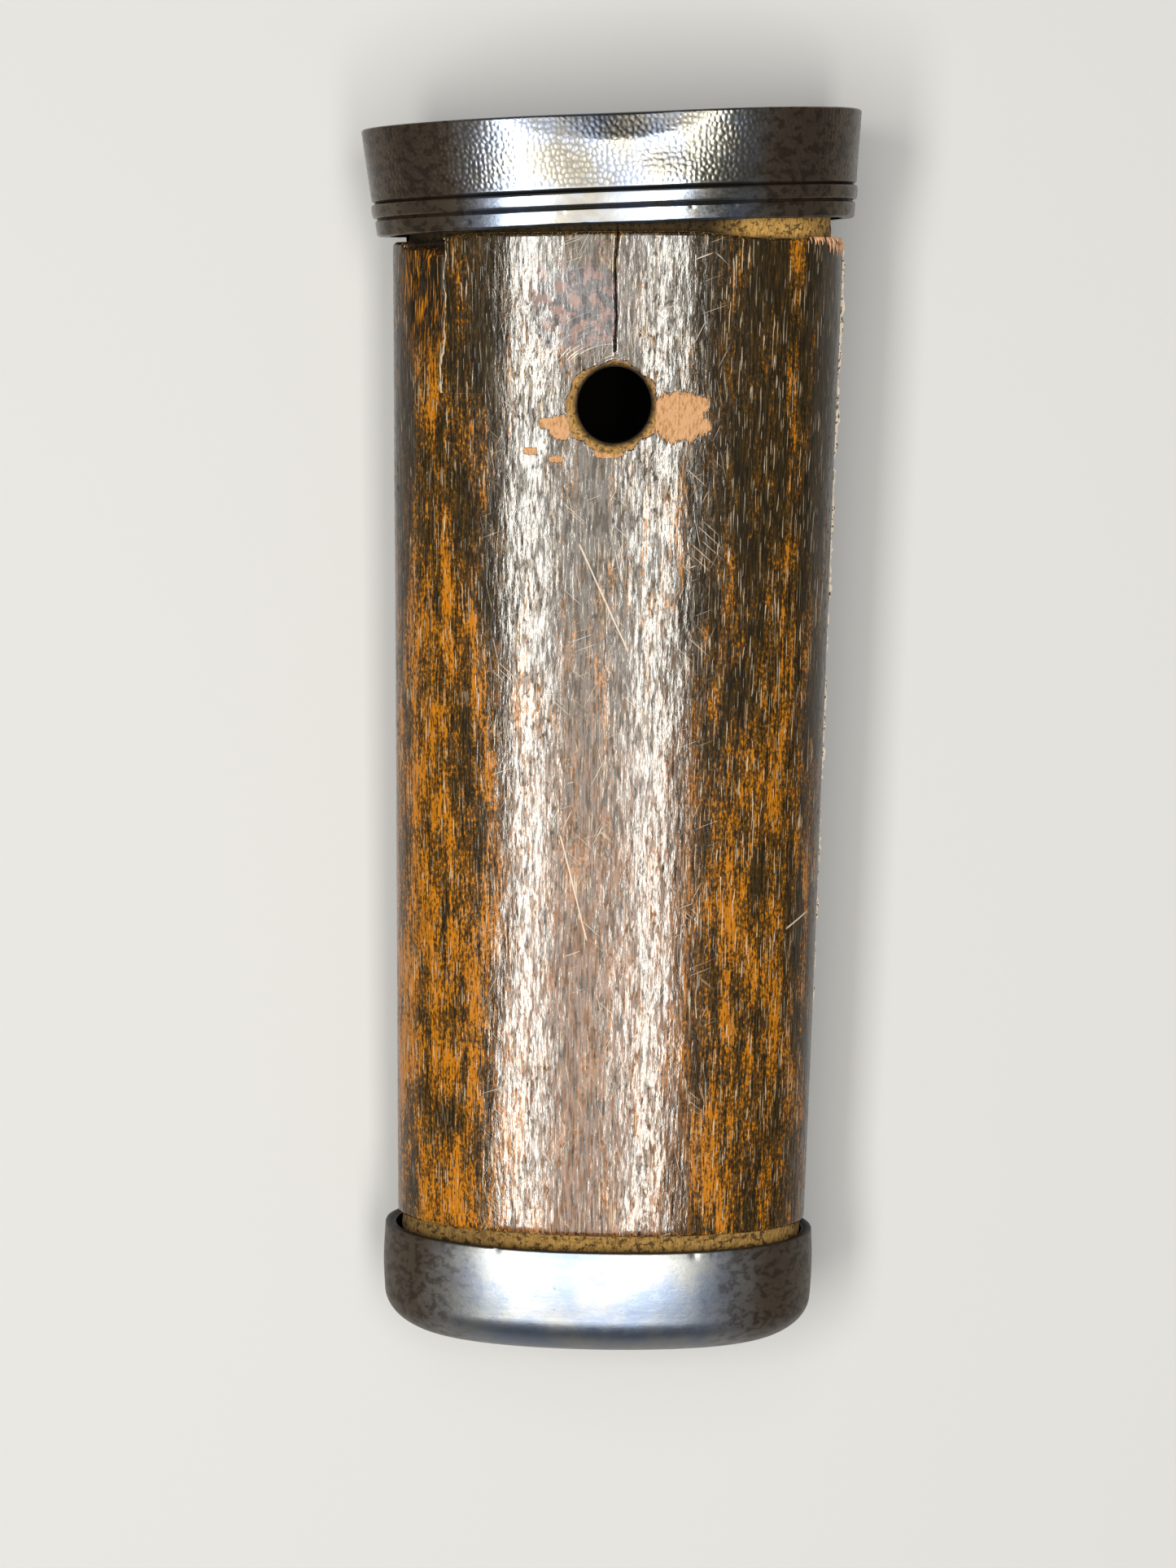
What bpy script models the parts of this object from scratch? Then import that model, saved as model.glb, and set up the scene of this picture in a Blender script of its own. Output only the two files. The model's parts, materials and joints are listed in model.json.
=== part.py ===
"""An oval wooden knife hilt with a loose metal collar and a glued metal end cap, lying on its back.

The hilt is modelled along its own axis: +Y runs from the end cap to the collar, X is the width of the
oval and +Z is the front, which holds the wide end of the peg hole. One empty, hilt_rest, then tips the
hilt so that the collar and the cap both touch the floor, and a second empty, collar_seat, holds the
collar, which has worked loose and sits a little crooked on its tenon.
"""

import math

import bmesh
import bpy
from mathutils import Matrix, Vector

MM = 0.001

# The oval sections, as half width (X) and half thickness (Z).
GRIP_TOP = (16.85 * MM, 9.50 * MM)
GRIP_FOOT = (15.80 * MM, 8.40 * MM)
COLLAR_RIM = (18.70 * MM, 10.80 * MM)
COLLAR_LIP = (17.85 * MM, 10.10 * MM)
CAP_LIP = (16.60 * MM, 9.00 * MM)
OVAL_POWER = 2.15
OVAL_POINTS = 72

# Lengths along the hilt. The lower shoulder of the grip is at Y = 0.
GRIP_LENGTH = 74.9 * MM
SHOULDER_ROUND = 0.35 * MM
TOP_SHOULDER_SLANT = math.radians(1.3)
FOOT_SHOULDER_SLANT = math.radians(3.5)
TOP_TENON = (15.90 * MM, 8.70 * MM)
TOP_TENON_LENGTH = 6.6 * MM
FOOT_TENON = (14.90 * MM, 7.60 * MM)
FOOT_TENON_LENGTH = 5.8 * MM
TENON_CHAMFER = 0.5 * MM
GLUE_GAP = 0.30 * MM

COLLAR_HEIGHT = 7.90 * MM
COLLAR_WALL = 0.90 * MM
COLLAR_LIFT = 1.00 * MM
COLLAR_COCK = math.radians(3.25)
COLLAR_SHIFT = -0.20 * MM
LOWER_BAND = 1.26 * MM
BEAD_BAND = 1.20 * MM
GROOVE_WIDTH = 0.24 * MM
GROOVE_DEPTH = 0.22 * MM
BEAD_RISE = 0.10 * MM
BEAD_STEPS = 6
EDGE_ROUND = 0.22 * MM

PLATE_THICKNESS = 1.0 * MM
PLATE_GAP = 0.30 * MM
PLATE_SLOT_LENGTH = 25.0 * MM
PLATE_SLOT_BACK = 7.6 * MM
PLATE_SLOT_EDGE = 6.0 * MM

CAP_DROP = 0.85 * MM
CAP_HEIGHT = 9.15 * MM
CAP_WALL = 0.80 * MM
CAP_BULGE = 0.10 * MM
CAP_STRAIGHT = 5.2 * MM
CAP_CORNER = 6.0 * MM
CAP_CORNER_STEPS = 8
CAP_CROWN = 0.35 * MM
CAP_CROWN_SHARE = 0.4

# The slot for the blade's tang runs from the top tenon down the glue plane.
SLOT_DEPTH = 70.0 * MM
SLOT_MOUTH = (24.0 * MM, 7.3 * MM)
SLOT_END = (15.0 * MM, 5.7 * MM)
SLOT_CORNER = 1.2 * MM
SLOT_CORNER_STEPS = 4
SLOT_PAST_MOUTH = 5.0 * MM

PEG_HOLE_Y = 62.9 * MM
PEG_HOLE_FRONT_RADIUS = 2.70 * MM
PEG_HOLE_BACK_RADIUS = 2.50 * MM
PEG_HOLE_POINTS = 32
PEG_FLARE = 0.55 * MM

# How far cutters run past what they cut, and the block that keeps one half of the grip.
CUTTER_PAST = 2.0 * MM
PEG_CUTTER_LENGTH = 30.0 * MM
BLOCK_SIZE = (60.0 * MM, 180.0 * MM, 30.0 * MM)

SHARP_ANGLE = math.radians(35)

# Each finish as its linear colour, roughness and metallic value.
STAINED_HARDWOOD = ((0.16, 0.075, 0.02), 0.28, 0.0)
TEXTURED_SILVER = ((0.62, 0.61, 0.58), 0.25, 1.0)
SATIN_SILVER = ((0.50, 0.51, 0.52), 0.32, 1.0)


# ---------------------------------------------------------------- shapes

def oval(section, y, inset=0.0, slant_x=0.0, slant_z=0.0):
    """One ring of a superellipse across the axis at y, inset evenly and tipped by two small slopes."""
    half_x = section[0] - inset
    half_z = section[1] - inset
    ring = []
    for i in range(OVAL_POINTS):
        turn = 2 * math.pi * i / OVAL_POINTS
        c = math.cos(turn)
        s = math.sin(turn)
        x = half_x * math.copysign(abs(c) ** (2 / OVAL_POWER), c)
        z = half_z * math.copysign(abs(s) ** (2 / OVAL_POWER), s)
        ring.append(Vector((x, y + x * slant_x + z * slant_z, z)))
    return ring


def between(first, second, share):
    """The section that lies a share of the way from one oval to another."""
    return tuple(a + (b - a) * share for a, b in zip(first, second))


def mesh_object(name, mesh, material, parent):
    """An object for a finished mesh, shaded smooth with its sharp edges kept."""
    mesh.shade_smooth()
    mesh.set_sharp_from_angle(angle=SHARP_ANGLE)
    mesh.materials.append(material)
    obj = bpy.data.objects.new(name, mesh)
    bpy.context.scene.collection.objects.link(obj)
    obj.parent = parent
    return obj


def loft(name, rings, ends):
    """A mesh through the rings in order. ends is 'flat', 'points' or 'joined'.

    'flat' closes both ends with a face, 'points' with a fan to a centre point, and 'joined' bridges the
    last ring to the first, as in a hollow band.
    """
    bm = bmesh.new()
    loops = [[bm.verts.new(point) for point in ring] for ring in rings]
    pairs = list(zip(loops, loops[1:]))
    if ends == "joined":
        pairs.append((loops[-1], loops[0]))
    for lower, upper in pairs:
        for i in range(len(lower)):
            j = (i + 1) % len(lower)
            bm.faces.new((lower[i], lower[j], upper[j], upper[i]))
    if ends == "flat":
        bm.faces.new(loops[0])
        bm.faces.new(loops[-1])
    if ends == "points":
        for loop in (loops[0], loops[-1]):
            centre = bm.verts.new(sum((v.co for v in loop), Vector()) / len(loop))
            for i in range(len(loop)):
                bm.faces.new((loop[i], loop[(i + 1) % len(loop)], centre))
    bmesh.ops.recalc_face_normals(bm, faces=bm.faces)
    mesh = bpy.data.meshes.new(name)
    bm.to_mesh(mesh)
    bm.free()
    return mesh


def helper(name, mesh, parent):
    """A cutter or guide: not part of the hilt, only used by the Boolean modifiers."""
    obj = bpy.data.objects.new(name, mesh)
    bpy.context.scene.collection.objects.link(obj)
    obj.parent = parent
    obj.hide_render = True
    obj.display_type = "WIRE"
    return obj


def cut(obj, cutter, operation="DIFFERENCE"):
    """A Boolean modifier with Blender's exact solver."""
    modifier = obj.modifiers.new(cutter.name, "BOOLEAN")
    modifier.operation = operation
    modifier.object = cutter


def rounded_slot(y, length, back, edge):
    """A ring for a slot across the axis: length along X, wider at the back (-X) than at the edge (+X)."""
    corners = (
        (length / 2, edge / 2, 1, 1),
        (-length / 2, back / 2, -1, 1),
        (-length / 2, -back / 2, -1, -1),
        (length / 2, -edge / 2, 1, -1),
    )
    quarter = math.pi / 2
    ring = []
    for index, (x, z, side_x, side_z) in enumerate(corners):
        centre = Vector((x - side_x * SLOT_CORNER, y, z - side_z * SLOT_CORNER))
        for step in range(SLOT_CORNER_STEPS + 1):
            turn = quarter * (index + step / SLOT_CORNER_STEPS)
            ring.append(centre + SLOT_CORNER * Vector((math.cos(turn), 0, math.sin(turn))))
    return ring


# ---------------------------------------------------------------- materials

def material(name, colour, roughness, metallic):
    """A Principled BSDF with one colour, roughness and metallic value."""
    made = bpy.data.materials.new(name)
    made.use_nodes = True
    shader = made.node_tree.nodes["Principled BSDF"]
    shader.inputs["Base Color"].default_value = (*colour, 1.0)
    shader.inputs["Roughness"].default_value = roughness
    shader.inputs["Metallic"].default_value = metallic
    return made


# ---------------------------------------------------------------- the grip

def grip_rings():
    """The whole grip from the foot tenon's end to the top tenon's end."""
    foot_slope = math.tan(FOOT_SHOULDER_SLANT)
    top_slope = math.tan(TOP_SHOULDER_SLANT)
    top = GRIP_LENGTH
    return [
        oval(FOOT_TENON, -FOOT_TENON_LENGTH, inset=2 * TENON_CHAMFER),
        oval(FOOT_TENON, -FOOT_TENON_LENGTH + TENON_CHAMFER),
        oval(FOOT_TENON, 0, slant_z=foot_slope),
        oval(GRIP_FOOT, 0, inset=SHOULDER_ROUND, slant_z=foot_slope),
        oval(GRIP_FOOT, SHOULDER_ROUND, slant_z=foot_slope),
        oval(between(GRIP_FOOT, GRIP_TOP, 0.5), top / 2),
        oval(GRIP_TOP, top - SHOULDER_ROUND, slant_x=top_slope),
        oval(GRIP_TOP, top, inset=SHOULDER_ROUND, slant_x=top_slope),
        oval(TOP_TENON, top, slant_x=top_slope),
        oval(TOP_TENON, top + TOP_TENON_LENGTH - TENON_CHAMFER),
        oval(TOP_TENON, top + TOP_TENON_LENGTH, inset=TENON_CHAMFER),
    ]


def tang_slot(parent):
    """The cutter for the tapering slot that the blade's tang fills."""
    mouth_y = GRIP_LENGTH + TOP_TENON_LENGTH
    widening = SLOT_PAST_MOUTH / SLOT_DEPTH
    past = [wide + (wide - narrow) * widening for wide, narrow in zip(SLOT_MOUTH, SLOT_END)]
    rings = [
        rounded_slot(mouth_y - SLOT_DEPTH, SLOT_END[0], SLOT_END[1], SLOT_END[1]),
        rounded_slot(mouth_y + SLOT_PAST_MOUTH, past[0], past[1], past[1]),
    ]
    return helper("tang_slot_cutter", loft("tang_slot_cutter", rings, "flat"), parent)


def peg_hole(parent):
    """The cutter for the peg's cross hole: a slow taper through both halves."""
    bm = bmesh.new()
    slope = (PEG_HOLE_FRONT_RADIUS - PEG_HOLE_BACK_RADIUS) / (2 * GRIP_TOP[1])
    past_face = PEG_CUTTER_LENGTH / 2 - GRIP_TOP[1]
    bmesh.ops.create_cone(
        bm,
        cap_ends=True,
        segments=PEG_HOLE_POINTS,
        radius1=PEG_HOLE_BACK_RADIUS - slope * past_face,
        radius2=PEG_HOLE_FRONT_RADIUS + slope * past_face,
        depth=PEG_CUTTER_LENGTH,
        matrix=Matrix.Translation((0, PEG_HOLE_Y, 0)),
    )
    mesh = bpy.data.meshes.new("peg_hole_cutter")
    bm.to_mesh(mesh)
    bm.free()
    return helper("peg_hole_cutter", mesh, parent)


def peg_flare(parent):
    """The cutter for the worn flare round the front mouth of the peg hole."""
    bm = bmesh.new()
    surface = between(GRIP_FOOT, GRIP_TOP, PEG_HOLE_Y / GRIP_LENGTH)[1]
    bmesh.ops.create_cone(
        bm,
        cap_ends=True,
        segments=PEG_HOLE_POINTS,
        radius1=PEG_HOLE_FRONT_RADIUS - PEG_FLARE,
        radius2=PEG_HOLE_FRONT_RADIUS - PEG_FLARE + CUTTER_PAST,
        depth=CUTTER_PAST,
        matrix=Matrix.Translation((0, PEG_HOLE_Y, surface - 2 * PEG_FLARE + CUTTER_PAST / 2)),
    )
    mesh = bpy.data.meshes.new("peg_flare_cutter")
    bm.to_mesh(mesh)
    bm.free()
    return helper("peg_flare_cutter", mesh, parent)


def half_space(name, side, parent):
    """A block that keeps one side of the glue plane, half the glue gap away from it."""
    bm = bmesh.new()
    bmesh.ops.create_cube(bm, size=1.0)
    bmesh.ops.scale(bm, verts=bm.verts, vec=BLOCK_SIZE)
    offset = side * (BLOCK_SIZE[2] / 2 + GLUE_GAP / 2)
    bmesh.ops.translate(bm, verts=bm.verts, vec=(0, 0, offset))
    mesh = bpy.data.meshes.new(name)
    bm.to_mesh(mesh)
    bm.free()
    return helper(name, mesh, parent)


def grip_halves(parent, wood):
    """The two halves of the grip, which are glued together round the blade's tang."""
    slot = tang_slot(parent)
    hole = peg_hole(parent)
    flare = peg_flare(parent)
    for name, side in (("grip_front_half", 1), ("grip_back_half", -1)):
        half = mesh_object(name, loft(name, grip_rings(), "flat"), wood, parent)
        cut(half, half_space(name + "_block", side, parent), "INTERSECT")
        cut(half, slot)
        cut(half, hole)
        if side > 0:
            cut(half, flare)


# ---------------------------------------------------------------- the metal fittings

def collar_outline():
    """The collar's outside as (height above the lip, how far it stands out of the plain taper)."""
    groove = GROOVE_WIDTH
    bead_low = LOWER_BAND
    bead_high = LOWER_BAND + BEAD_BAND
    points = [(0, -EDGE_ROUND), (EDGE_ROUND, 0), (bead_low - groove / 2, 0), (bead_low, -GROOVE_DEPTH)]
    for step in range(1, BEAD_STEPS):
        turn = math.pi * step / BEAD_STEPS
        height = bead_low + groove / 2 + (BEAD_BAND - groove) * (1 - math.cos(turn)) / 2
        points.append((height, (GROOVE_DEPTH + BEAD_RISE) * math.sin(turn) - GROOVE_DEPTH))
    points += [(bead_high, -GROOVE_DEPTH), (bead_high + groove / 2, 0)]
    points += [(COLLAR_HEIGHT - EDGE_ROUND, 0), (COLLAR_HEIGHT, -EDGE_ROUND)]
    return points


def collar_band(parent, metal):
    """The side wall of the collar: a plain lip, a bead between two grooves and a tall textured band."""
    rings = []
    for height, out in collar_outline():
        section = between(COLLAR_LIP, COLLAR_RIM, height / COLLAR_HEIGHT)
        rings.append(oval(section, height, inset=-out))
    for height in (COLLAR_HEIGHT, COLLAR_HEIGHT / 2, 0):
        section = between(COLLAR_LIP, COLLAR_RIM, height / COLLAR_HEIGHT)
        rings.append(oval(section, height, inset=COLLAR_WALL))
    mesh_object("collar_band", loft("collar_band", rings, "joined"), metal, parent)


def collar_plate(parent, metal):
    """The flat plate that closes the collar's rim, with the slot that the tang passes through."""
    low = COLLAR_HEIGHT - PLATE_THICKNESS
    inset = COLLAR_WALL + PLATE_GAP
    section = between(COLLAR_LIP, COLLAR_RIM, low / COLLAR_HEIGHT)
    rings = [oval(section, height, inset=inset) for height in (low, COLLAR_HEIGHT)]
    plate = mesh_object("collar_plate", loft("collar_plate", rings, "flat"), metal, parent)
    slot = (PLATE_SLOT_LENGTH, PLATE_SLOT_BACK, PLATE_SLOT_EDGE)
    slot_ends = (low - CUTTER_PAST, COLLAR_HEIGHT + CUTTER_PAST)
    slot_rings = [rounded_slot(height, *slot) for height in slot_ends]
    cut(plate, helper("plate_slot_cutter", loft("plate_slot_cutter", slot_rings, "flat"), parent))


def cap_rings(wall):
    """Rings of the cap from its lip to its crown, for the outside (wall 0) or the inside."""
    rings = [oval(CAP_LIP, -CAP_DROP, inset=wall)]
    bulge_y = -CAP_DROP - CAP_STRAIGHT / 2
    rings.append(oval(CAP_LIP, bulge_y, inset=wall - CAP_BULGE))
    corner_drop = CAP_HEIGHT - CAP_STRAIGHT - CAP_CROWN - wall
    for step in range(CAP_CORNER_STEPS + 1):
        turn = math.pi / 2 * step / CAP_CORNER_STEPS
        inset = wall + CAP_CORNER * (1 - math.cos(turn))
        y = -CAP_DROP - CAP_STRAIGHT - corner_drop * math.sin(turn)
        rings.append(oval(CAP_LIP, y, inset=inset))
    crown_y = -CAP_DROP - CAP_HEIGHT + wall
    crown = [Vector((p.x * CAP_CROWN_SHARE, crown_y, p.z * CAP_CROWN_SHARE)) for p in rings[-1]]
    rings.append(crown)
    return rings


def end_cap(parent, metal):
    """The cup that closes the foot of the grip, with rounded corners and an almost flat crown."""
    outside = cap_rings(0.0)
    lip_edge = oval(CAP_LIP, -CAP_DROP + EDGE_ROUND / 2, inset=EDGE_ROUND)
    inside = cap_rings(CAP_WALL)
    rings = outside[::-1] + [lip_edge] + inside
    mesh_object("end_cap", loft("end_cap", rings, "points"), metal, parent)


# ---------------------------------------------------------------- putting it together

def tip_angle():
    """How far the hilt tips so that the collar's rim and the cap's widest ring share one floor."""
    cap_y = -CAP_DROP - CAP_STRAIGHT / 2
    rim_y = GRIP_LENGTH + COLLAR_LIFT + COLLAR_HEIGHT - EDGE_ROUND
    return math.atan2(COLLAR_RIM[1] - CAP_LIP[1] - CAP_BULGE, rim_y - cap_y)


def empty(name, parent=None):
    """An empty that places what is parented to it."""
    made = bpy.data.objects.new(name, None)
    bpy.context.scene.collection.objects.link(made)
    made.parent = parent
    return made


def stand_on_origin(root):
    """Moves the hilt so that the origin is on the floor, under the middle of its box."""
    bpy.context.view_layer.update()
    graph = bpy.context.evaluated_depsgraph_get()
    points = []
    for obj in bpy.data.objects:
        if obj.type == "MESH" and not obj.hide_render:
            evaluated = obj.evaluated_get(graph)
            mesh = evaluated.to_mesh()
            points += [evaluated.matrix_world @ vertex.co for vertex in mesh.vertices]
            evaluated.to_mesh_clear()
    low = Vector([min(p[axis] for p in points) for axis in range(3)])
    high = Vector([max(p[axis] for p in points) for axis in range(3)])
    root.location -= Vector(((low.x + high.x) / 2, (low.y + high.y) / 2, low.z))
    bpy.context.view_layer.update()


def main():
    for obj in list(bpy.data.objects):
        bpy.data.objects.remove(obj)
    wood = material("stained_hardwood", *STAINED_HARDWOOD)
    collar_metal = material("textured_silver", *TEXTURED_SILVER)
    cap_metal = material("satin_silver", *SATIN_SILVER)

    root = empty("hilt_rest")
    root.rotation_euler = (tip_angle(), 0, 0)
    seat = empty("collar_seat", root)
    seat.location = (COLLAR_SHIFT, GRIP_LENGTH + COLLAR_LIFT, 0)
    seat.rotation_euler = (0, 0, COLLAR_COCK)

    grip_halves(root, wood)
    collar_band(seat, collar_metal)
    collar_plate(seat, collar_metal)
    end_cap(root, cap_metal)
    stand_on_origin(root)


main()
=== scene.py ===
"""The finished surfaces of an oval hardwood dagger hilt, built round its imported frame.

Every piece is worked out in the hilt's own millimetres: x across the oval, y along the hilt from the
foot shoulder, z out of the front. One function then tips it onto the floor, as the frame has it.
"""

import json
import math

import bmesh
import bpy
import numpy as np
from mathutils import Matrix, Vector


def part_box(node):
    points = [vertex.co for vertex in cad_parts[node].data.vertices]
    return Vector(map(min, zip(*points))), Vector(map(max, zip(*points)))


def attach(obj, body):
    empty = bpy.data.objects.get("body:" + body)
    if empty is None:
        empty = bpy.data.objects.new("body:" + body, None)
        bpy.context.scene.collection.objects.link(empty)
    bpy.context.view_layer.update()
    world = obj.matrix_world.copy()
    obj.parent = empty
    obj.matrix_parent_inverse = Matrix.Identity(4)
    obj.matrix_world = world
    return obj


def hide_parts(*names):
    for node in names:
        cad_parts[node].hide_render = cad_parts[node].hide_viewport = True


bl_info = {
    "name": "Dagger Hilt",
    "version": (1, 0, 0),
    "blender": (4, 5, 0),
    "location": "View3D > Sidebar > Hilt",
    "description": "Builds the wood, silver and old glue of a worn dagger hilt",
    "category": "Add Mesh",
}

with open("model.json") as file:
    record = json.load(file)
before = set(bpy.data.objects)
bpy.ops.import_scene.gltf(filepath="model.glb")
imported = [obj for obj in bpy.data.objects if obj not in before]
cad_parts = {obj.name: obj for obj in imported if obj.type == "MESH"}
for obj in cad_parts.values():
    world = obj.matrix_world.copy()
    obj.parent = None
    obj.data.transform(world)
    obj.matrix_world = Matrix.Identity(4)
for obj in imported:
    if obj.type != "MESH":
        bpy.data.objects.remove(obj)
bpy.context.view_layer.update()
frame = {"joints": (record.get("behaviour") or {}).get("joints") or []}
MM = 0.001

# Oval sections, as half width (x) and half depth (z), in mm.
OVAL_POWER = 2.15
GRIP_TOP = (16.85, 9.50)
GRIP_FOOT = (15.80, 8.40)
TOP_TENON = (15.90, 8.70)
FOOT_TENON = (15.45, 7.95)
COLLAR_RIM = (18.70, 10.80)
COLLAR_LIP = (17.85, 10.10)
CAP_LIP = (16.60, 9.00)

# Lengths in mm and slants in radians, as the frame has them.
GRIP_LENGTH = 74.9
TOP_TENON_LENGTH = 6.6
FOOT_TENON_LENGTH = 5.8
SHOULDER_ROUND = 0.35
TOP_SLANT = math.tan(math.radians(1.3))
FOOT_SLANT = math.tan(math.radians(3.5))
SEAM_GAP = 0.12
PEG_HOLE_Y = 62.9
PEG_HOLE_RADIUS = (2.78, 2.50)
SLOT_DEPTH = 70.0
SLOT_MOUTH = (24.0, 7.3)
SLOT_END = (15.0, 5.7)
COLLAR_HEIGHT = 7.90
COLLAR_WALL = 0.90
GROOVE_DEPTH = 0.24
COLLAR_LIFT = 1.00
COLLAR_COCK = math.radians(3.25)
COLLAR_SHIFT = -0.20
GROOVES = (1.26, 2.46)
CAP_DROP = 0.85
CAP_HEIGHT = 9.15
CAP_WALL = 0.80
CAP_BULGE = 0.10
CAP_STRAIGHT = 5.2
CAP_CORNER = 6.0
CAP_CROWN = 0.35
CAP_SHIFT = -0.20
PLATE_THICKNESS = 1.0
PLATE_GAP = 0.30
PLATE_SLOT = (25.0, 7.6, 6.0)

# The hilt's place, from the frame: its axis is the joint's, and it stands on the cap's widest ring.
AXIS = frame["joints"][0]["axis"]
TIP = math.atan2(AXIS[2], AXIS[1])
BACK_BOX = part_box("grip_back_half")
FRONT_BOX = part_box("grip_front_half")
HILT_PLACE = np.array(
    (
        (FRONT_BOX[0].x + FRONT_BOX[1].x) / 2 / MM,
        BACK_BOX[0].y / MM + FOOT_TENON_LENGTH * math.cos(TIP),
        (CAP_LIP[1] + CAP_BULGE) * math.cos(TIP) + (CAP_DROP + CAP_STRAIGHT / 2) * math.sin(TIP),
    )
)
PEG_PLACE = (
    HILT_PLACE[0],
    HILT_PLACE[1] + PEG_HOLE_Y * math.cos(TIP) - GRIP_TOP[1] * math.sin(TIP),
    HILT_PLACE[2],
)


# ---------------------------------------------------------------- colours and nodes

def linear(code, alpha=True):
    """An sRGB hex colour as linear light: the sRGB curve undone for each channel."""
    values = [int(code[i : i + 2], 16) / 255 for i in (1, 3, 5)]
    light = [v / 12.92 if v <= 0.04045 else ((v + 0.055) / 1.055) ** 2.4 for v in values]
    return (*light, 1.0) if alpha else tuple(light)


def add(tree, kind, inputs=None, take=0, **settings):
    """Adds a node with its settings, links or sets its inputs, and gives back one of its outputs."""
    made = tree.nodes.new("ShaderNode" + kind)
    for key, value in settings.items():
        setattr(made, key, value)
    for key, value in (inputs or {}).items():
        if isinstance(value, bpy.types.NodeSocket):
            tree.links.new(value, made.inputs[key])
        else:
            made.inputs[key].default_value = value
    return made.outputs[take]


def new_material(name):
    """An empty material, with its tree, its shader and the piece's own space in millimetres."""
    made = bpy.data.materials.new(name)
    made.use_nodes = True
    tree = made.node_tree
    place = add(tree, "TexCoord", take="Object")
    millimetres = add(tree, "VectorMath", {0: place, "Scale": 1 / MM}, operation="SCALE")
    return made, tree, tree.nodes["Principled BSDF"], millimetres


def lumps(tree, place, size, detail=3.0, turn=0.0, shift=0.0):
    """A noise round 0.5 whose lumps measure size, in mm across, along and out of the hilt, after a turn."""
    mapped = {"Vector": place, "Location": (shift, shift, 0), "Rotation": (0, 0, turn), "Scale": size}
    spot = add(tree, "Mapping", mapped, vector_type="TEXTURE")
    return add(tree, "TexNoise", {"Vector": spot, "Scale": 1.0, "Detail": detail, "Roughness": 0.6})


def total(tree, start, *parts):
    """A start plus patterns, each times its weight."""
    for pattern, weight in parts:
        start = add(tree, "Math", {0: pattern, 1: weight, 2: start}, operation="MULTIPLY_ADD")
    return start


def eased(tree, value, low, high, start=0.0, end=1.0, mirrored=False):
    """A pattern eased from start to end as it goes from low to high, by its size alone where it is mirrored.

    The pattern may also be a total, given as a tuple of its start and its weighted parts.
    """
    if isinstance(value, tuple):
        value = total(tree, *value)
    if mirrored:
        value = add(tree, "Math", {0: value}, operation="ABSOLUTE")
    ends = {"Value": value, "From Min": low, "From Max": high, "To Min": start, "To Max": end}
    return add(tree, "MapRange", ends, interpolation_type="SMOOTHSTEP")


def product(tree, *factors):
    """Patterns and numbers multiplied together. A tuple among them is eased first, and holds what to ease."""
    made, *rest = (eased(tree, *factor) if isinstance(factor, tuple) else factor for factor in factors)
    for factor in rest:
        made = add(tree, "Math", {0: made, 1: factor}, operation="MULTIPLY")
    return made


def paint(tree, colour, *coats):
    """A colour with coats laid over it, each a colour and the factors of its mask."""
    for coat, *mask in coats:
        colour = add(tree, "Mix", {0: product(tree, *mask), 6: colour, 7: coat}, take=2, data_type="RGBA")
    return colour


# ---------------------------------------------------------------- shapes

def oval(section, turn):
    """A superellipse: x = a cos^(2/p), z = b sin^(2/p), with the signs kept."""
    power = 2 / OVAL_POWER
    c, s = np.cos(turn), np.sin(turn)
    return section[0] * np.sign(c) * np.abs(c) ** power, section[1] * np.sign(s) * np.abs(s) ** power


def even_turns(section, count, end, closed):
    """Turns from 0 to end that space points evenly along the oval's arc."""
    fine = np.linspace(0, end, 4001)
    x, z = oval(section, fine)
    arc = np.concatenate(([0], np.cumsum(np.hypot(np.diff(x), np.diff(z)))))
    return np.interp(np.linspace(0, arc[-1], count, endpoint=not closed), arc, fine), arc[-1]


def mixed(first, second, share):
    """The section that lies a share of the way between two, as two arrays."""
    return tuple(a + (b - a) * share for a, b in zip(first, second))


def soft(value):
    """A smooth step from 0 to 1 as the value goes from 0 to 1."""
    t = np.clip(value, 0, 1)
    return t * t * (3 - 2 * t)


LATTICE = 256


def uneven(u, v, cell, seed, period=LATTICE):
    """Smooth random heights from -1 to 1: values on a lattice of cells, with an S-curve between them."""
    heights = np.random.default_rng(seed).uniform(-1, 1, (LATTICE, LATTICE))
    gu, gv = np.broadcast_arrays(u / cell[0], v / cell[1])
    iu, iv = np.floor(gu).astype(int), np.floor(gv).astype(int)
    fu, fv = soft(gu - iu), soft(gv - iv)
    low = heights[iv % LATTICE, iu % period] * (1 - fu) + heights[iv % LATTICE, (iu + 1) % period] * fu
    top = iv + 1
    high = heights[top % LATTICE, iu % period] * (1 - fu) + heights[top % LATTICE, (iu + 1) % period] * fu
    return low * (1 - fv) + high * fv


def wavy(u, cell, seed, period=LATTICE):
    """Smooth random heights from -1 to 1 along one direction only."""
    return uneven(u, u * 0, (cell, 1.0), seed, period)


def outward(x, z, section):
    """The direction out of an oval at its points, near enough: a plain ellipse's normal, x/a² and z/b²."""
    nx, nz = x / section[0] ** 2, z / section[1] ** 2
    length = np.maximum(np.hypot(nx, nz), 1e-9)
    return nx / length, nz / length


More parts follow.
